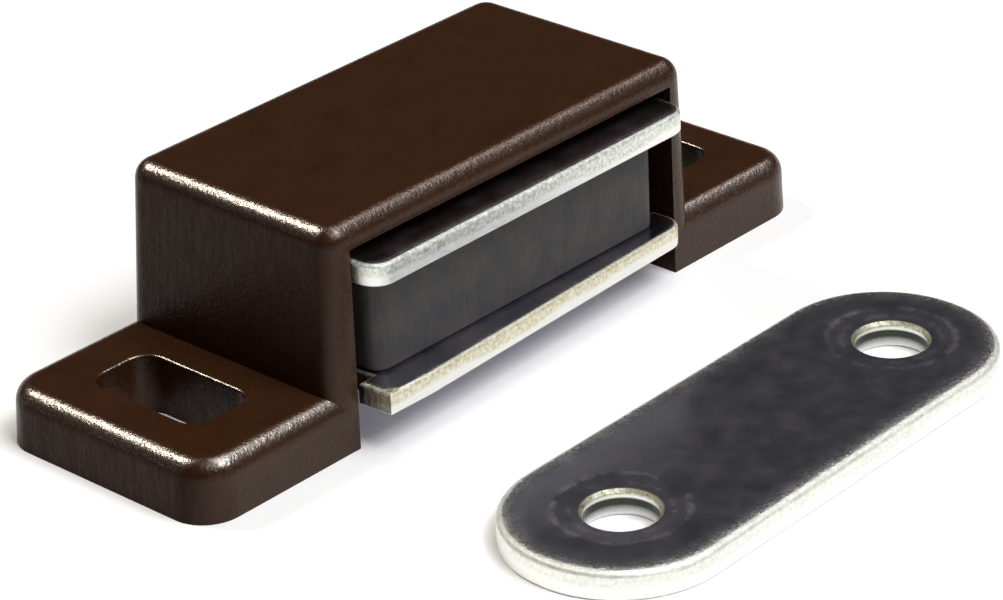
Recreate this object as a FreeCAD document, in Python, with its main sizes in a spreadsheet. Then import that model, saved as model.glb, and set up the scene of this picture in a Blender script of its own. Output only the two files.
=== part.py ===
# Magnetic cupboard catch with its strike plate, in millimetres.
#
# X runs along the catch, Z is up from the surface that the catch is screwed to, and the open
# mouth of the housing faces -Y. The origin is midway between the two ear slots, on the underside.
# Five real pieces: the moulded housing, two steel pole plates with a ferrite magnet clamped
# between them, and the loose steel strike plate that is screwed to the door.

import FreeCAD, Part
import os

import Sketcher

V = FreeCAD.Vector
doc = FreeCAD.newDocument("cupboard_catch")


# Driving sizes

SIZES = [
    ("slot_margin", 1.8, "from the box's foot to an ear slot"),
    ("slot_width", 4.1, "of an ear slot, along X"),
    ("slot_length", 8.0, "of an ear slot, along Y"),
    ("slot_corner_round", 1.2, "of an ear slot's corners"),
    ("slot_rim_round", 0.15, "of an ear slot's upper rim"),
    ("ear_rim", 3.15, "from an ear slot to the ear's end, at the foot"),
    ("ear_height", 3.4, "of the ears"),
    ("ear_corner_round", 2.2, "of the ears' corners, seen from above"),
    ("roof_wall", 1.3, "of the roof, seen as the thin lip over the mouth"),
    ("end_wall", 1.92, "of each end wall, at its foot"),
    ("back_wall", 1.5, "of the back wall, at its foot"),
    ("outer_draft", 2.9, "degrees, on the ends and the back"),
    ("inner_draft", 0.6, "degrees, on the cavity walls"),
    ("edge_round", 1.1, "of the top edges of box and ears"),
    ("case_corner_extra", 0.2, "by which the box's upright edges are rounder than its top edges"),
    ("cavity_corner_round", 0.6, "of the cavity's two back corners"),
    ("rib_width", 1.6, "of the upright guide rib on each end wall"),
    ("rib_play", 0.4, "between a guide rib and the bottom of its notch"),
    ("rib_setback", 2.75, "from the mouth to the ribs' middle"),
    ("lug_hold", 0.75, "of the snap lug under the magnet pack"),
    ("lug_height", 1.1, "of a snap lug"),
    ("lug_length", 6.0, "of a snap lug, along Y"),
    ("lug_lead", 0.7, "of the slope under a snap lug, which the plates snap past"),
    ("lug_gap", 0.35, "between a guide rib and the snap lug behind it"),
    ("pack_seat", 2.35, "from the underside to the lower pole plate"),
    ("pack_end_play", 0.33, "between a pole plate and each end wall"),
    ("pack_back_play", 2.62, "between the pole plates and the back wall"),
    ("pack_headroom", 0.65, "between the upper pole plate and the roof"),
    ("pack_shift", 0.08, "of plates and magnet off the middle, towards -X"),
    ("plate_length", 24.4, "of a pole plate, along X"),
    ("plate_depth", 13.0, "of a pole plate, along Y"),
    ("plate_gauge", 1.25, "thickness of a pole plate"),
    ("plate_corner_round", 1.25, "of a pole plate's corners"),
    ("plate_edge_roll", 0.25, "of a pole plate's upper edge, rolled by the punch"),
    ("plate_burr_break", 0.1, "of a pole plate's lower edge"),
    ("plate_reach", 1.62, "of a pole plate past the mouth"),
    ("notch_depth", 1.0, "of the notch that straddles a guide rib"),
    ("notch_play", 1.2, "between a notch and its rib, each way along Y"),
    ("tail_inset", 0.42, "by which a plate is narrower at each end behind its notches"),
    ("trim_length", 3.0, "of the cut that takes the lower plate's left front corner, along X"),
    ("trim_depth", 0.2, "of that cut, along Y"),
    ("lower_plate_turn", 2.42, "degrees that the lower plate lies askew on the magnet"),
    ("magnet_inset", 1.2, "from a pole plate's end to the magnet's"),
    ("magnet_reach", 0.15, "of the magnet past the mouth"),
    ("magnet_tail", 0.53, "from the magnet's back to the pole plates' back"),
    ("magnet_height", 5.8, "between the pole plates"),
    ("magnet_corner_round", 1.0, "of the upright edges"),
    ("magnet_edge_break", 0.2, "of the flat faces' edges"),
    ("strike_length", 33.65, "along its own length"),
    ("strike_width", 12.1, "across"),
    ("strike_gauge", 1.6, "thickness of the strike plate"),
    ("strike_end_flat", 0.2, "of the straight stretch between the rounds of an end"),
    ("strike_edge_roll", 0.4, "of its upper edge"),
    ("strike_burr_break", 0.12, "of its lower edge"),
    ("strike_hole", 3.9, "diameter of its two holes"),
    ("strike_hole_inset", 5.75, "from the plate's end to a hole's middle, on average"),
    ("strike_hole_shift", 0.38, "of the two holes off the plate's middle, towards +X"),
    ("strike_dish_width", 1.5, "of the dished ring round each hole"),
    ("strike_dish_depth", 0.14, "of the dished ring"),
    ("strike_hole_break", 0.15, "of the hole's rim"),
    ("strike_gap", 9.95, "from the mouth's plane to the strike plate"),
    ("strike_shift", 0.15, "of the strike plate's middle, towards -X"),
    ("strike_turn", 0.9, "degrees that the loose strike plate lies askew to the catch"),
]

# Sizes that follow from them

DERIVED = [
    ("case_length", "sizes.plate_length + 2 * sizes.pack_end_play + 2 * sizes.end_wall",
     "of the box between the ears, at its foot"),
    ("slot_spacing", "case_length + 2 * sizes.slot_margin + sizes.slot_width",
     "between the two ear slots' centres"),
    ("housing_length", "slot_spacing + sizes.slot_width + 2 * sizes.ear_rim", "over both ears"),
    ("housing_depth",
     "sizes.plate_depth - sizes.plate_reach + sizes.pack_back_play + sizes.back_wall",
     "from the mouth to the back, at the foot"),
    ("upper_seat", "sizes.pack_seat + sizes.plate_gauge + sizes.magnet_height",
     "from the underside to the upper pole plate"),
    ("cavity_height", "upper_seat + sizes.plate_gauge + sizes.pack_headroom",
     "from the underside to the cavity's roof"),
    ("housing_height", "cavity_height + sizes.roof_wall", "from the underside to the roof's top"),
    ("cavity_width", "case_length - 2 * sizes.end_wall", "between the end walls, at their foot"),
    ("wall_at_roof",
     "sizes.end_wall - housing_height * tan(sizes.outer_draft)"
     " + cavity_height * tan(sizes.inner_draft)",
     "of an end wall, at the top"),
    ("rib_reach", "sizes.pack_end_play + sizes.notch_depth - sizes.rib_play",
     "of a guide rib, from the wall's foot"),
    ("lug_reach", "sizes.pack_end_play + sizes.lug_hold",
     "of a snap lug, from the wall's foot"),
    ("lug_setback",
     "sizes.rib_setback + sizes.rib_width / 2 + sizes.lug_gap + sizes.lug_length / 2",
     "from the mouth to the lugs' middle"),
    ("notch_length", "sizes.rib_width + 2 * sizes.notch_play", "of a pole plate's notch, along Y"),
    ("plate_front", "-sizes.plate_reach - sizes.rib_setback",
     "Y of a pole plate's front edge, from the ribs' middle"),
    ("magnet_length", "sizes.plate_length - 2 * sizes.magnet_inset", "along X"),
    ("magnet_depth",
     "sizes.plate_depth - sizes.plate_reach + sizes.magnet_reach - sizes.magnet_tail",
     "along Y"),
    ("strike_end_round", "(sizes.strike_width - sizes.strike_end_flat) / 2",
     "of the strike plate's ends"),
    ("strike_hole_spacing", "sizes.strike_length - 2 * sizes.strike_hole_inset",
     "between its two holes"),
]

# How far a cut runs on past the solid that it leaves, so that no skin is left.
OVERRUN = 1.0

# The size that a sketched shape is drawn at, before its formula sets it.
DRAWN = 2.0


def fill(sheet, rows, prefix=""):
    """Write a sheet's rows: the alias, the value or formula, and what it measures."""
    for row, (alias, value, note) in enumerate(rows, start=1):
        sheet.set("A%d" % row, alias)
        sheet.set("B%d" % row, prefix + str(value))
        sheet.set("C%d" % row, note)
        sheet.setAlias("B%d" % row, alias)


sizes_sheet = doc.addObject("Spreadsheet::Sheet", "sizes")
fill(sizes_sheet, SIZES)
doc.recompute()
derived_sheet = doc.addObject("Spreadsheet::Sheet", "derived")
fill(derived_sheet, DERIVED, "=")
doc.recompute()


# Helpers

def size(alias):
    """The value of a driving size."""
    return float(sizes_sheet.get(alias))


def derived(alias):
    """The value of a size that follows from others."""
    return float(derived_sheet.get(alias))


def bind(feature, **expressions):
    """Bind each named property of a feature to a formula over the sheets' aliases."""
    for name, formula in expressions.items():
        feature.setExpression(name, formula)


def place(thing, prefix, x="0", y="0", z="0"):
    """Bind the position held in a placement property to three formulas."""
    thing.setExpression(prefix + ".Base.x", x)
    thing.setExpression(prefix + ".Base.y", y)
    thing.setExpression(prefix + ".Base.z", z)


def origin_plane(body, role):
    """One of a body's own three origin planes, found by its role."""
    return next(item for item in body.Origin.OriginFeatures if item.Role == role)


def new_body(name):
    body = doc.addObject("PartDesign::Body", name)
    body.Label = name
    return body


def flat_sketch(body, name, x="0", y="0", z="0"):
    """An empty sketch parallel to the body's XY plane, with its origin at the given formulas."""
    sketch = body.newObject("Sketcher::SketchObject", name)
    sketch.AttachmentSupport = (origin_plane(body, "XY_Plane"), [""])
    sketch.MapMode = "FlatFace"
    place(sketch, "AttachmentOffset", x, y, z)
    return sketch


def rectangle_sketch(body, name, width, depth, x="0", y="0", z="0"):
    """A rectangle centred on the sketch's origin, its two sizes bound to formulas."""
    sketch = flat_sketch(body, name, x, y, z)
    corners = [V(-1, -1, 0), V(1, -1, 0), V(1, 1, 0), V(-1, 1, 0)]
    for index, corner in enumerate(corners):
        sketch.addGeometry(Part.LineSegment(corner, corners[(index + 1) % len(corners)]), False)
    for index in range(len(corners)):
        sketch.addConstraint(Sketcher.Constraint("Coincident", index, 2, (index + 1) % len(corners), 1))
    for index in (0, 2):
        sketch.addConstraint(Sketcher.Constraint("Horizontal", index))
        sketch.addConstraint(Sketcher.Constraint("Vertical", index + 1))
    sketch.addConstraint(Sketcher.Constraint("Symmetric", 0, 1, 1, 2, -1, 1))
    width_index = sketch.addConstraint(Sketcher.Constraint("DistanceX", 0, 1, 0, 2, DRAWN))
    depth_index = sketch.addConstraint(Sketcher.Constraint("DistanceY", 1, 1, 1, 2, DRAWN))
    sketch.setExpression("Constraints[%d]" % width_index, width)
    sketch.setExpression("Constraints[%d]" % depth_index, depth)
    return sketch


def circle_sketch(body, name, diameter, x):
    """A circle on the body's XY plane."""
    sketch = flat_sketch(body, name, x)
    sketch.addGeometry(Part.Circle(V(0, 0, 0), V(0, 0, 1), DRAWN / 2), False)
    sketch.addConstraint(Sketcher.Constraint("Coincident", 0, 3, -1, 1))
    index = sketch.addConstraint(Sketcher.Constraint("Diameter", 0, DRAWN))
    sketch.setExpression("Constraints[%d]" % index, diameter)
    return sketch


def rebuild(feature):
    """Recompute the document, and stop at a feature that could not be made."""
    doc.recompute()
    if feature.Shape.isNull() or "Invalid" in feature.State:
        raise RuntimeError("%s failed: %s" % (feature.Name, feature.getStatusString()))
    return feature


def pad(body, name, sketch, length):
    feature = body.newObject("PartDesign::Pad", name)
    feature.Profile = sketch
    bind(feature, Length=length)
    return rebuild(feature)


def pocket_up(body, name, sketch, length, taper="0"):
    """Cut from the sketch upwards, and make sure that material went."""
    before = body.Shape.Volume
    feature = body.newObject("PartDesign::Pocket", name)
    feature.Profile = sketch
    feature.Reversed = True
    bind(feature, Length=length, TaperAngle=taper)
    rebuild(feature)
    if feature.Shape.Volume >= before:
        raise RuntimeError(name + " cut nothing")
    return feature


def mirrored(body, name, originals):
    """Repeat features on the other side of the body's YZ plane."""
    feature = body.newObject("PartDesign::Mirrored", name)
    feature.Originals = originals
    feature.MirrorPlane = (origin_plane(body, "YZ_Plane"), [""])
    body.Tip = feature
    return rebuild(feature)


def draft(body, name, face_names, angle):
    """Lean the named faces inwards from the body's XY plane."""
    base = body.Tip
    feature = body.newObject("PartDesign::Draft", name)
    feature.Base = (base, face_names)
    feature.NeutralPlane = (origin_plane(body, "XY_Plane"), [""])
    bind(feature, Angle=angle)
    return rebuild(feature)


def fillet(body, name, edge_names, radius):
    base = body.Tip
    feature = body.newObject("PartDesign::Fillet", name)
    feature.Base = (base, edge_names)
    bind(feature, Radius=radius)
    return rebuild(feature)


def chamfer(body, name, edge_names, depth, width=None):
    """Bevel edges by one setback, or by a depth and a different width across the top face."""
    base = body.Tip
    feature = body.newObject("PartDesign::Chamfer", name)
    feature.Base = (base, edge_names)
    bind(feature, Size=depth)
    if width:
        feature.ChamferType = "Two distances"
        feature.FlipDirection = True
        bind(feature, Size2=width)
    return rebuild(feature)


NEAR = 0.02
SAMPLES = 5


def edges(body, test):
    """Names of the tip's edges that pass a test, without those that shrink to a point."""
    return ["Edge%d" % number for number, edge in enumerate(body.Tip.Shape.Edges, start=1)
            if not edge.Degenerated and test(edge)]


def faces(body, test):
    """Names of the tip's faces whose outward normal, at the middle, passes a test."""
    found = []
    for number, face in enumerate(body.Tip.Shape.Faces, start=1):
        u_low, u_high, v_low, v_high = face.ParameterRange
        if test(face.normalAt((u_low + u_high) / 2, (v_low + v_high) / 2)):
            found.append("Face%d" % number)
    return found


def level(height):
    """A test for edges that lie flat at a height."""
    return lambda edge: all(abs(point.z - height) < NEAR for point in edge.discretize(SAMPLES))


def upright(edge):
    """True for an edge that climbs more than it leans."""
    start, end = edge.discretize(2)
    climb = end - start
    return abs(climb.z) > climb.Length / 2


def full_circle(edge):
    """True for an edge that closes on itself, and so has a single vertex."""
    return len(edge.Vertexes) == 1


def near_slot(edge):
    """True for an edge of an ear's long hole."""
    middle = edge.CenterOfMass
    across = size("slot_width") / 2 + NEAR
    along = size("slot_length") / 2 + NEAR
    return abs(abs(middle.x) - derived("slot_spacing") / 2) < across and abs(middle.y) < along


# Housing

MOUTH_Y = "(-derived.housing_depth / 2)"

# The round of the box's upright edges stays within the end wall where that is thinnest.
CASE_ROUND = "min(sizes.edge_round + sizes.case_corner_extra; 0.95 * derived.wall_at_roof)"


def block(name, length, height, corner_round):
    """A solid box, drafted on its ends and back, with rounded upright and top edges."""
    body = new_body(name)
    outline = rectangle_sketch(body, name + "_outline", length, "derived.housing_depth")
    pad(body, name + "_pad", outline, height)
    leaning = faces(body, lambda normal: abs(normal.x) > 0.9 or normal.y > 0.9)
    draft(body, name + "_draft", leaning, "sizes.outer_draft")
    fillet(body, name + "_corners", edges(body, upright), corner_round)
    top = max(vertex.Z for vertex in body.Tip.Shape.Vertexes)
    fillet(body, name + "_edges", edges(body, level(top)), "sizes.edge_round")
    return body


def housing():
    """The one moulded piece: box and ears, cavity open in front and below, ribs, lugs and slots."""
    case = block("case", "derived.case_length", "derived.housing_height", CASE_ROUND)
    ears = block("ears", "derived.housing_length", "sizes.ear_height", "sizes.ear_corner_round")
    outside = doc.addObject("Part::Fuse", "outside")
    outside.Base = ears
    outside.Tool = case
    doc.recompute()
    body = new_body("housing")
    body.BaseFeature = outside
    doc.recompute()

    cut_cavity(body)
    cut_slots(body)
    add_ribs_and_lugs(body)
    round_slot_rims(body)
    return body


def cut_cavity(body):
    """The space for the magnet pack, open in front and below, narrower towards the roof."""
    outline = rectangle_sketch(
        body, "cavity_outline", "derived.cavity_width",
        "derived.housing_depth - sizes.back_wall + %g" % OVERRUN,
        y="-(sizes.back_wall + %g) / 2" % OVERRUN)
    pocket_up(body, "cavity", outline, "derived.cavity_height", "-sizes.inner_draft")
    within = derived("cavity_width") / 2 + NEAR
    back = derived("housing_depth") / 2 - size("back_wall")

    def back_corner(edge):
        middle = edge.CenterOfMass
        return upright(edge) and abs(middle.x) < within and 0 < middle.y < back

    fillet(body, "cavity_corners", edges(body, back_corner), "sizes.cavity_corner_round")


def cut_slots(body):
    """One long hole through each ear, across the catch, so that it can be set forward or back."""
    outline = rectangle_sketch(body, "slot_outline", "sizes.slot_width", "sizes.slot_length",
                               x="derived.slot_spacing / 2")
    slot = pocket_up(body, "slot", outline, "sizes.ear_height + %g" % OVERRUN)
    mirrored(body, "slot_pair", [slot])
    fillet(body, "slot_corners", edges(body, lambda edge: upright(edge) and near_slot(edge)),
           "sizes.slot_corner_round")


def add_ribs_and_lugs(body):
    """On each end wall, an upright rib that keeps the pack in and a snap lug that carries it."""
    root = "(sizes.end_wall / 2)"
    rib_outline = rectangle_sketch(
        body, "rib_outline", "derived.rib_reach + " + root, "sizes.rib_width",
        x="derived.cavity_width / 2 + (%s - derived.rib_reach) / 2" % root,
        y="%s + sizes.rib_setback" % MOUTH_Y)
    rib = pad(body, "rib", rib_outline, "derived.cavity_height + sizes.roof_wall / 2")
    lug_outline = rectangle_sketch(
        body, "lug_outline", "derived.lug_reach + " + root, "sizes.lug_length",
        x="derived.cavity_width / 2 + (%s - derived.lug_reach) / 2" % root,
        y="%s + derived.lug_setback" % MOUTH_Y,
        z="sizes.pack_seat - sizes.lug_height")
    lug = pad(body, "lug", lug_outline, "sizes.lug_height")
    mirrored(body, "rib_and_lug_pair", [rib, lug])
    on_foot = level(size("pack_seat") - size("lug_height"))
    tip = derived("cavity_width") / 2 - derived("lug_reach")

    def lug_lead(edge):
        return on_foot(edge) and abs(abs(edge.CenterOfMass.x) - tip) < NEAR

    chamfer(body, "lug_leads", edges(body, lug_lead), "sizes.lug_lead")


def round_slot_rims(body):
    """Break the sharp upper rims of the slots."""
    on_ear = level(size("ear_height"))
    fillet(body, "slot_rims", edges(body, lambda edge: on_ear(edge) and near_slot(edge)),
           "sizes.slot_rim_round")


# Magnet pack

def pole_plate(name, seat, turn, trimmed=False):
    """A punched steel plate. Its own origin is midway between the two guide ribs, under the plate."""
    body = new_body(name)
    front = derived("plate_front")
    back = front + size("plate_depth")
    outline = rectangle_sketch(body, name + "_outline", "sizes.plate_length", "sizes.plate_depth",
                               y="derived.plate_front + sizes.plate_depth / 2")
    pad(body, name + "_pad", outline, "sizes.plate_gauge")
    notch_outline = rectangle_sketch(body, name + "_notch_outline", "2 * sizes.notch_depth",
                                     "derived.notch_length", x="sizes.plate_length / 2")
    notch = pocket_up(body, name + "_notch", notch_outline, "sizes.plate_gauge")
    tail = "(derived.plate_front + sizes.plate_depth)"
    tail_outline = rectangle_sketch(body, name + "_tail_outline", "2 * sizes.tail_inset", tail,
                                    x="sizes.plate_length / 2", y=tail + " / 2")
    sides = pocket_up(body, name + "_tail", tail_outline, "sizes.plate_gauge")
    mirrored(body, name + "_notches_and_tail", [notch, sides])

    def at(place_y):
        return lambda edge: upright(edge) and abs(edge.CenterOfMass.y - place_y) < NEAR

    def cut_away(edge):
        return trimmed and at(front)(edge) and edge.CenterOfMass.x < 0

    if trimmed:
        chamfer(body, name + "_trim", edges(body, cut_away), "sizes.trim_depth", "sizes.trim_length")
    round_ones = edges(body, lambda edge: at(back)(edge) or at(front)(edge) and not cut_away(edge))
    fillet(body, name + "_corners", round_ones, "sizes.plate_corner_round")
    fillet(body, name + "_rolled_edge", edges(body, level(size("plate_gauge"))), "sizes.plate_edge_roll")
    chamfer(body, name + "_burr_edge", edges(body, level(0)), "sizes.plate_burr_break")
    place(body, "Placement", x="-sizes.pack_shift", y="%s + sizes.rib_setback" % MOUTH_Y, z=seat)
    body.setExpression("Placement.Rotation.Angle", turn)
    return body


def magnet():
    """A plain ferrite block between the plates, its front a little past the mouth."""
    body = new_body("magnet")
    outline = rectangle_sketch(body, "magnet_outline", "derived.magnet_length", "derived.magnet_depth")
    pad(body, "magnet_pad", outline, "sizes.magnet_height")
    fillet(body, "magnet_corners", edges(body, upright), "sizes.magnet_corner_round")
    top = size("magnet_height")
    flat = edges(body, lambda edge: level(0)(edge) or level(top)(edge))
    chamfer(body, "magnet_edges", flat, "sizes.magnet_edge_break")
    place(body, "Placement", x="-sizes.pack_shift",
          y="%s - sizes.magnet_reach + derived.magnet_depth / 2" % MOUTH_Y,
          z="sizes.pack_seat + sizes.plate_gauge")
    return body


# Strike plate

def strike_plate():
    """A flat steel plate with two pierced holes. Its own origin is midway between the two."""
    body = new_body("strike_plate")
    outline = rectangle_sketch(body, "strike_outline", "sizes.strike_length", "sizes.strike_width",
                               x="-sizes.strike_hole_shift")
    pad(body, "strike_pad", outline, "sizes.strike_gauge")
    fillet(body, "strike_ends", edges(body, upright), "derived.strike_end_round")
    hole_outline = circle_sketch(body, "strike_hole_outline", "sizes.strike_hole",
                                 "derived.strike_hole_spacing / 2")
    hole = pocket_up(body, "strike_hole_cut", hole_outline, "sizes.strike_gauge")
    mirrored(body, "strike_holes", [hole])
    top = level(size("strike_gauge"))
    fillet(body, "strike_rolled_edge", edges(body, lambda edge: top(edge) and not full_circle(edge)),
           "sizes.strike_edge_roll")
    hole_rims = edges(body, lambda edge: top(edge) and full_circle(edge))
    chamfer(body, "strike_dishes", hole_rims, "sizes.strike_dish_depth", "sizes.strike_dish_width")
    rim = level(size("strike_gauge") - size("strike_dish_depth"))
    chamfer(body, "strike_hole_rims", edges(body, rim), "sizes.strike_hole_break")
    chamfer(body, "strike_burr_edge", edges(body, level(0)), "sizes.strike_burr_break")
    place(body, "Placement", x="sizes.strike_hole_shift - sizes.strike_shift",
          y="%s - sizes.strike_gap - sizes.strike_width / 2" % MOUTH_Y)
    body.setExpression("Placement.Rotation.Angle", "sizes.strike_turn")
    return body


os.makedirs("parts", exist_ok=True)
PIECES = [
    housing(),
    pole_plate("lower_pole_plate", "sizes.pack_seat", "sizes.lower_plate_turn", trimmed=True),
    magnet(),
    pole_plate("upper_pole_plate", "derived.upper_seat", "0"),
    strike_plate(),
]
doc.recompute()

for item in doc.Objects:
    if "Invalid" in item.State or "Error" in item.State:
        raise RuntimeError("%s failed: %s" % (item.Label, item.State))
for piece in PIECES:
    if piece.Shape.isNull() or not piece.Shape.isValid() or len(piece.Shape.Solids) != 1:
        raise RuntimeError(piece.Label + " is not one valid solid")

for piece in PIECES:
    piece.Shape.exportStep("parts/%s.step" % piece.Label)
    print(piece.Label, round(piece.Shape.Volume, 2), piece.Shape.BoundBox)
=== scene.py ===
import math
from collections import namedtuple

import bpy
from mathutils import Matrix, Vector


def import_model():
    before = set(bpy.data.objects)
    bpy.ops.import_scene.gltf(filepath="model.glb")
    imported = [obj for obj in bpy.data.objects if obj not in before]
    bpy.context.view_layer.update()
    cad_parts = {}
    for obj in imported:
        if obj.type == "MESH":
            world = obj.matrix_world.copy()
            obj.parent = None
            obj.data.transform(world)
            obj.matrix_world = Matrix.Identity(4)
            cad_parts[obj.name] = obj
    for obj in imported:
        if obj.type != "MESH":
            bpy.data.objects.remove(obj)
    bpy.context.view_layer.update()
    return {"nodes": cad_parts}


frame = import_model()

NODES = frame["nodes"]
MM = 0.001
WHITE = (1, 1, 1, 1)


# Camera, solved from the photograph's straight edges

FRAME_WIDTH_PX = 1003
SENSOR_MM = 36.0
FOCAL_PX = 3873.28
AZIMUTH = math.radians(-46.512)
ELEVATION = math.radians(27.235)
ROLL = math.radians(-2.684)
DISTANCE = 201.536 * MM
TARGET = Vector((-2.88, -8.986, 5.0)) * MM
NEAREST = 10 * MM
FARTHEST = 20.0


def make_camera():
    back = Vector((math.sin(AZIMUTH) * math.cos(ELEVATION),
                   -math.cos(AZIMUTH) * math.cos(ELEVATION),
                   math.sin(ELEVATION)))
    level_right = Vector((math.cos(AZIMUTH), math.sin(AZIMUTH), 0))
    level_up = back.cross(level_right)
    right = math.cos(ROLL) * level_right + math.sin(ROLL) * level_up
    up = back.cross(right)
    data = bpy.data.cameras.new("camera")
    data.sensor_width = SENSOR_MM
    data.sensor_fit = "HORIZONTAL"
    data.lens = FOCAL_PX / FRAME_WIDTH_PX * SENSOR_MM
    data.clip_start = NEAREST
    data.clip_end = FARTHEST
    camera = bpy.data.objects.new("camera", data)
    bpy.context.collection.objects.link(camera)
    turn = Matrix((right, up, back)).transposed().to_4x4()
    camera.matrix_world = Matrix.Translation(TARGET + back * DISTANCE) @ turn
    bpy.context.scene.camera = camera


# Node helpers

def rgb(red, green, blue):
    """A colour given as display values from 0 to 255, as linear light."""
    return [((c / 255 + 0.055) / 1.055) ** 2.4 if c > 10 else c / 255 / 12.92
            for c in (red, green, blue)] + [1.0]


class Nodes:
    """Builds one material's node tree, a line at a time."""

    def __init__(self, name):
        self.material = bpy.data.materials.new(name)
        self.material.use_nodes = True
        self.tree = self.material.node_tree
        self.shader = self.tree.nodes["Principled BSDF"]
        where = self.add("ShaderNodeTexCoord").outputs
        self.place = where["Object"]
        self.normal = where["Normal"]

    def add(self, kind, **settings):
        node = self.tree.nodes.new(kind)
        for name, value in settings.items():
            setattr(node, name, value)
        return node

    def feed(self, socket, value):
        """Link an output, or set a plain value."""
        if isinstance(value, bpy.types.NodeSocket):
            self.tree.links.new(value, socket)
        else:
            socket.default_value = value

    def set(self, **values):
        """Feed the shader's inputs, named with _ for each space."""
        for name, value in values.items():
            self.feed(self.shader.inputs[name.replace("_", " ")], value)

    def maths(self, operation, *values):
        node = self.add("ShaderNodeMath", operation=operation)
        for socket, value in zip(node.inputs, values):
            self.feed(socket, value)
        return node.outputs[0]

    def chain(self, operation, first, *others):
        """Take values through an operation from left to right."""
        for other in others:
            first = self.maths(operation, first, other)
        return first

    def plus(self, *values):
        return self.chain("ADD", *values)

    def times(self, *values):
        return self.chain("MULTIPLY", *values)

    def largest(self, *values):
        return self.chain("MAXIMUM", *values)

    def minus(self, first, second):
        return self.maths("SUBTRACT", first, second)

    def size_of(self, value):
        return self.maths("ABSOLUTE", value)

    def distance(self, along, across):
        squares = self.plus(self.times(along, along), self.times(across, across))
        return self.maths("SQRT", squares)

    def span(self, value, low, high, to_low=0.0, to_high=1.0):
        """Map a range to another, with the ends held."""
        node = self.add("ShaderNodeMapRange")
        for socket, part in zip(node.inputs, (value, low, high, to_low, to_high)):
            self.feed(socket, part)
        return node.outputs["Result"]

    def fade(self, value, full, gone, strength=1.0):
        """A strength that holds up to one value and falls to 0 at the next."""
        return self.span(value, full, gone, strength, 0.0)

    def axes(self, vector):
        node = self.add("ShaderNodeSeparateXYZ")
        self.feed(node.inputs[0], vector)
        return node.outputs

    def scaled(self, x, y, z):
        """The frame's coordinates, each times a factor."""
        node = self.add("ShaderNodeMapping")
        self.feed(node.inputs["Vector"], self.place)
        node.inputs["Scale"].default_value = (x, y, z)
        return node.outputs["Vector"]

    def millimetres(self):
        return self.axes(self.scaled(1 / MM, 1 / MM, 1 / MM))

    def turned(self, shape):
        """Coordinates from a shape's middle along its own axes, in millimetres."""
        node = self.add("ShaderNodeMapping", vector_type="TEXTURE")
        self.feed(node.inputs["Vector"], self.place)
        node.inputs["Location"].default_value = (shape.x * MM, shape.y * MM, 0)
        node.inputs["Rotation"].default_value = (0, 0, math.radians(shape.turn))
        node.inputs["Scale"].default_value = (MM, MM, MM)
        return self.axes(node.outputs["Vector"])

    def noise(self, size, detail=2.0, roughness=0.5, upright=1.0):
        """Cloudy noise from 0 to 1, its blobs about the given size in millimetres.

        Where upright is under 1, the blobs are drawn out along Z into streaks.
        """
        node = self.add("ShaderNodeTexNoise")
        self.feed(node.inputs["Vector"], self.scaled(1, 1, upright))
        node.inputs["Scale"].default_value = 1 / (size * MM)
        node.inputs["Detail"].default_value = detail
        node.inputs["Roughness"].default_value = roughness
        return node.outputs["Fac"]

    def colour(self, factor, first, second):
        node = self.add("ShaderNodeMix", data_type="RGBA")
        self.feed(node.inputs["Factor"], factor)
        self.feed(node.inputs["A"], first)
        self.feed(node.inputs["B"], second)
        return node.outputs["Result"]

    def bump(self, *layers):
        """Bump in layers, the lowest first, each a height and its depth in millimetres."""
        normal = None
        for height, depth in layers:
            node = self.add("ShaderNodeBump")
            self.feed(node.inputs["Height"], height)
            node.inputs["Distance"].default_value = depth * MM
            if normal:
                self.feed(node.inputs["Normal"], normal)
            normal = node.outputs["Normal"]
        return normal


# Ranges that noise is spread over, from low to high contrast, and factors for upright streaks

SOFT = (0.3, 0.7)
FIRM = (0.35, 0.65)
HARD = (0.4, 0.6)
STREAK = 0.12
PUNCH_STREAK = 0.14


# Housing and magnet

BROWNS = (rgb(45, 25, 11), rgb(53, 30, 15))
# Painted shade: the darker brown of the end walls that face ±X
END_SHADE_BROWN = rgb(25, 10, 11)
GLOSS_TINT = rgb(255, 246, 236)
FERRITE_GREYS = (rgb(49, 48, 51), rgb(66, 64, 59))


def plastic():
    """Dark brown moulded plastic: matt flats with a fine grain, edges shinier, end walls painted
    darker as shade.
    """
    n = Nodes("housing_plastic")
    facing = n.axes(n.normal)
    side, front = n.size_of(facing["X"]), n.size_of(facing["Y"])
    up = facing["Z"]
    grain = n.noise(0.13, roughness=0.55)
    coarse = n.noise(0.32)
    mottle = n.noise(2.5, detail=4.0, roughness=0.65)
    streaks = n.noise(0.22, detail=3.0, roughness=0.6, upright=STREAK)

    wall = n.span(side, 0.5, 0.9)
    flat_gloss = n.plus(n.span(up, 0.3, 0.9, 0.017, 0.044),
                        n.span(front, 0.3, 0.9, 0.0, 0.058),
                        n.times(wall, n.span(streaks, *FIRM, -0.003, 0.009)))

    rounded = n.fade(n.largest(side, front, up), 0.86, 0.985)
    leaning = n.span(up, 0.35, 0.75)
    off_corner = n.span(n.maths("MINIMUM", side, front), 0.08, 0.3, 1.0, 0.05)
    front_edge = n.span(n.millimetres()["Z"], 4.0, 10.0, 1.1, 0.45)
    edge = n.times(rounded, leaning, off_corner, n.span(front, 0.15, 0.45, 1.0, front_edge))

    brown = n.colour(n.span(mottle, *SOFT), *BROWNS)
    height = n.plus(grain, n.times(coarse, 0.9), n.times(wall, 0.5, streaks))
    # Walls that face ±X are mixed towards a darker brown, painted shade where little light falls
    # on them
    n.set(Base_Color=n.colour(n.span(side, 0.4, 0.9, 0.0, 0.5), brown, END_SHADE_BROWN),
          Roughness=n.span(grain, *SOFT, 0.22, 0.34),
          Specular_IOR_Level=n.plus(flat_gloss, n.times(edge, 1.05)),
          Specular_Tint=GLOSS_TINT,
          IOR=2.3,
          Normal=n.bump((height, 0.023)))
    return n.material


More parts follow.
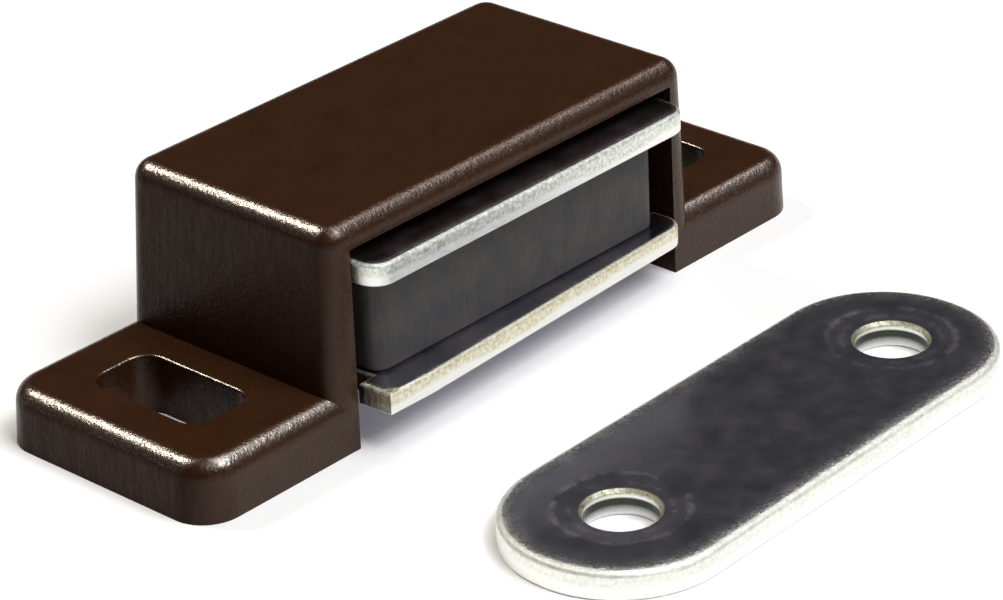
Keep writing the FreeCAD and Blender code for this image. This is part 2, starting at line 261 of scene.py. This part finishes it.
def ferrite():
    """Dark sintered ferrite, ground and unglazed."""
    n = Nodes("ferrite")
    grit = n.noise(0.1, detail=4.0, roughness=0.7)
    cloud = n.noise(1.5, detail=3.0)
    streaks = n.noise(0.18, detail=3.0, roughness=0.6, upright=STREAK)
    tone = n.plus(n.times(cloud, 0.5), n.times(streaks, 0.5))
    n.set(Base_Color=n.colour(n.span(tone, 0.38, 0.62), *FERRITE_GREYS),
          Roughness=n.span(grit, *SOFT, 0.5, 0.65),
          Specular_IOR_Level=0.4,
          Normal=n.bump((grit, 0.012)))
    return n.material


# Zinc-plated steel, with sizes in millimetres and turns in degrees

Outline = namedtuple("Outline", "x y turn length width corner")
Holes = namedtuple("Holes", "x y turn spacing radius")

UPPER_PLATE = Outline(x=-0.08, y=-2.87, turn=0.0, length=24.4, width=13.0, corner=1.25)
LOWER_PLATE = UPPER_PLATE._replace(x=-0.01, turn=2.42)
STRIKE_PLATE = Outline(x=-0.15, y=-23.75, turn=0.9, length=33.65, width=12.1, corner=5.95)
STRIKE_HOLES = Holes(x=0.23, y=-23.74, turn=0.9, spacing=22.15, radius=1.95)

GREY = (rgb(194, 193, 212), rgb(226, 223, 238))
CREAM = (rgb(206, 200, 166), rgb(246, 243, 226))
GREEN = (rgb(190, 197, 186), rgb(244, 247, 241))
PALE = (rgb(222, 226, 214), rgb(248, 249, 246))
BURNISHED = rgb(250, 250, 248)
SHADED = rgb(60, 60, 58)
# Painted shade: the dark middle of the holes' walls, standing in for the shaded floor they
# mirror
PAINTED_BORE_SHADE = rgb(60, 64, 58)
BORE_RIM = rgb(150, 146, 112)

SHEAR_BLUR = 0.2
RING_HALF_WIDTH = 0.3
RINGS = ((3.4, 0.75), (2.6, 0.35))


def inset(n, outline):
    """How far inside a rounded rectangle a point lies."""
    place = n.turned(outline)
    beyond = [n.largest(n.minus(n.size_of(place[axis]), side / 2 - outline.corner), 0.0)
              for axis, side in (("X", outline.length), ("Y", outline.width))]
    return n.minus(outline.corner, n.distance(*beyond))


def hole_radius(n, holes):
    """The distance from the nearer of two holes' middles."""
    place = n.turned(holes)
    return n.distance(n.minus(n.size_of(place["X"]), holes.spacing / 2), place["Y"])


def punched_edge(n, height, torn, tones, shear):
    """Mottled where the metal tore, and burnished bright up to the shear's wavy height."""
    wave = n.span(n.noise(6.0, detail=1.0), *HARD, 0.12, -0.12)
    height = n.plus(height, wave, n.times(torn, SHEAR_BLUR))
    burnished = n.fade(height, shear, shear + SHEAR_BLUR, 0.8)
    return n.colour(burnished, n.colour(n.span(torn, *FIRM), *tones), BURNISHED)


def shade_end(n, edge, scores, outline, strength):
    """Darken the end that faces -X, less so near its front corner."""
    front = outline.y - outline.width / 2
    end = n.fade(n.axes(n.normal)["X"], -0.9, -0.6, strength)
    off_corner = n.span(n.millimetres()["Y"], front + 0.27, front + 0.97, 0.25, 1.0)
    return n.colour(n.times(end, n.span(scores, *HARD, 1.0, 0.45), off_corner), edge, SHADED)


def bore(n, edge, inside, height, torn):
    """Give the holes' walls a painted dark middle, a painted reflection of the shaded floor
    under the plate, and a torn olive rim above it.
    """
    # The walls' middle height is painted dark as a painted reflection of shade
    middle = n.times(inside, n.fade(height, 0.98, 1.08), n.span(height, 0.0, 0.65))
    edge = n.colour(middle, edge, PAINTED_BORE_SHADE)
    rim = n.times(inside, n.span(height, 1.15, 1.25), n.span(torn, *FIRM, 0.3, 1.0))
    return n.colour(rim, edge, BORE_RIM)


def ring_haze(n, radius, fine, cloud):
    """Broken haze on the dished rings round the holes, from each one's radius and strength."""
    rings = [n.fade(n.size_of(n.minus(radius, middle)), 0.0, RING_HALF_WIDTH, strength)
             for middle, strength in RINGS]
    return n.times(n.largest(*rings), n.span(fine, 0.3, 0.6), n.span(cloud, 0.4, 0.56))


def zinc(name, outline, worn, face, edge_tones, shear, holes=None, end_shade=0.0):
    """Punched steel, zinc-plated: flat faces as rolled, edges bright and scored by the punch.

    Worn is how far the haze reaches in from the outline. Face and edge_tones are pairs of
    colours. The shear is the height over the floor that an edge's burnished part ends at,
    and end_shade is how much the end that faces -X is darkened, from 0 to 1.
    """
    n = Nodes(name)
    height = n.millimetres()["Z"]
    fine = n.noise(0.07, detail=3.0, roughness=0.65)
    cloud = n.noise(1.6, detail=4.0, roughness=0.55)
    speck = n.noise(0.22, detail=4.0, roughness=0.7)
    scores = n.noise(0.12, detail=3.0, roughness=0.6, upright=PUNCH_STREAK)
    torn = n.noise(0.2, detail=3.0, roughness=0.6)

    lean = n.size_of(n.axes(n.normal)["Z"])
    side = n.fade(lean, 0.6, 0.97)
    rolled = n.times(n.span(lean, 0.1, 0.3), n.fade(lean, 0.96, 0.995))
    rim = n.fade(inset(n, outline), 0.0, worn)
    haze = n.times(rim, n.span(speck, 0.25, 0.8))
    roll = n.times(rim, rim, n.span(speck, *SOFT, -0.4, -1.0), n.span(lean, 0.7, 0.98))

    edge = punched_edge(n, height, torn, edge_tones, shear)
    if end_shade:
        edge = shade_end(n, edge, scores, outline, end_shade)
    if holes:
        radius = hole_radius(n, holes)
        inside = n.fade(radius, holes.radius + 0.15, holes.radius + 0.25)
        side = n.largest(side, inside)
        edge = bore(n, edge, inside, height, torn)
        haze = n.largest(haze, ring_haze(n, radius, fine, cloud))

    flat = n.colour(n.span(cloud, *SOFT), *face)
    n.set(Metallic=1.0,
          Base_Color=n.colour(n.largest(side, rim), flat, edge),
          Roughness=n.plus(n.span(cloud, *SOFT, 0.19, 0.25),
                           n.times(rolled, 0.25),
                           n.times(haze, 0.22),
                           n.times(side, n.span(torn, *SOFT, 0.02, 0.14))),
          Normal=n.bump((fine, 0.0036), (roll, 0.085), (n.times(torn, rolled), 0.03),
                        (n.times(scores, side), 0.01)))
    return n.material


def dress(node, material):
    for slot in NODES[node].material_slots:
        slot.material = material


# Floor, world and lamps

FLOOR_HALF = 2.0
FLOOR_GLOW = 0.05
WORLD_LIGHT = 0.045
PAPER = rgb(245, 245, 245)


def floor():
    """A white board that glows for the camera and for gloss, so that it shows as white paper."""
    mesh = bpy.data.meshes.new("floor")
    signs = ((-1, -1), (1, -1), (1, 1), (-1, 1))
    corners = [(x * FLOOR_HALF, y * FLOOR_HALF, 0) for x, y in signs]
    mesh.from_pydata(corners, [], [(0, 1, 2, 3)])
    board = bpy.data.objects.new("floor", mesh)
    bpy.context.collection.objects.link(board)
    n = Nodes("floor_white")
    rays = n.add("ShaderNodeLightPath").outputs
    seen = n.largest(rays["Is Camera Ray"], rays["Is Glossy Ray"], rays["Is Transmission Ray"])
    n.set(Base_Color=PAPER,
          Roughness=0.9,
          Specular_IOR_Level=0.1,
          Emission_Color=WHITE,
          Emission_Strength=n.times(seen, FLOOR_GLOW))
    mesh.materials.append(n.material)


def world():
    space = bpy.data.worlds.new("studio")
    space.use_nodes = True
    background = space.node_tree.nodes["Background"]
    background.inputs["Color"].default_value = WHITE
    background.inputs["Strength"].default_value = WORLD_LIGHT
    bpy.context.scene.world = space


def lamp(name, direction, distance, size, power, colour=(1, 1, 1)):
    """A soft rectangular lamp that shines on the object from a direction."""
    light = bpy.data.lights.new(name, "AREA")
    light.shape = "RECTANGLE"
    light.size, light.size_y = size
    light.energy = power
    light.color = colour
    holder = bpy.data.objects.new(name, light)
    bpy.context.collection.objects.link(holder)
    way = Vector(direction).normalized()
    holder.location = TARGET + way * distance
    holder.rotation_mode = "QUATERNION"
    holder.rotation_quaternion = way.to_track_quat("Z", "Y")


make_camera()

dress("housing", plastic())
dress("upper_pole_plate", zinc("upper_plate_steel", UPPER_PLATE, worn=0.5, face=GREY,
                               edge_tones=GREEN, shear=9.85))
dress("lower_pole_plate", zinc("lower_plate_steel", LOWER_PLATE, worn=0.5, face=GREY,
                               edge_tones=CREAM, shear=2.9, end_shade=0.85))
dress("magnet", ferrite())
dress("strike_plate", zinc("strike_plate_steel", STRIKE_PLATE, worn=1.5, face=GREY,
                           edge_tones=PALE, shear=0.75, holes=STRIKE_HOLES))

floor()
world()
lamp("above", direction=(0.12, -0.25, 0.96), distance=0.9, size=(0.6, 0.6), power=4.1)
lamp("key", direction=(-0.18, 0.61, 0.77), distance=0.9, size=(0.16, 0.16), power=2.5,
     colour=(1.0, 0.91, 0.79))
lamp("side", direction=(0.645, -0.01, 0.76), distance=0.9, size=(0.16, 0.16), power=0.4,
     colour=(1.0, 0.85, 0.85))
lamp("fill", direction=(0.03, -0.59, 0.81), distance=1.0, size=(0.55, 0.4), power=6.4)

bpy.context.scene.view_settings.view_transform = "Standard"
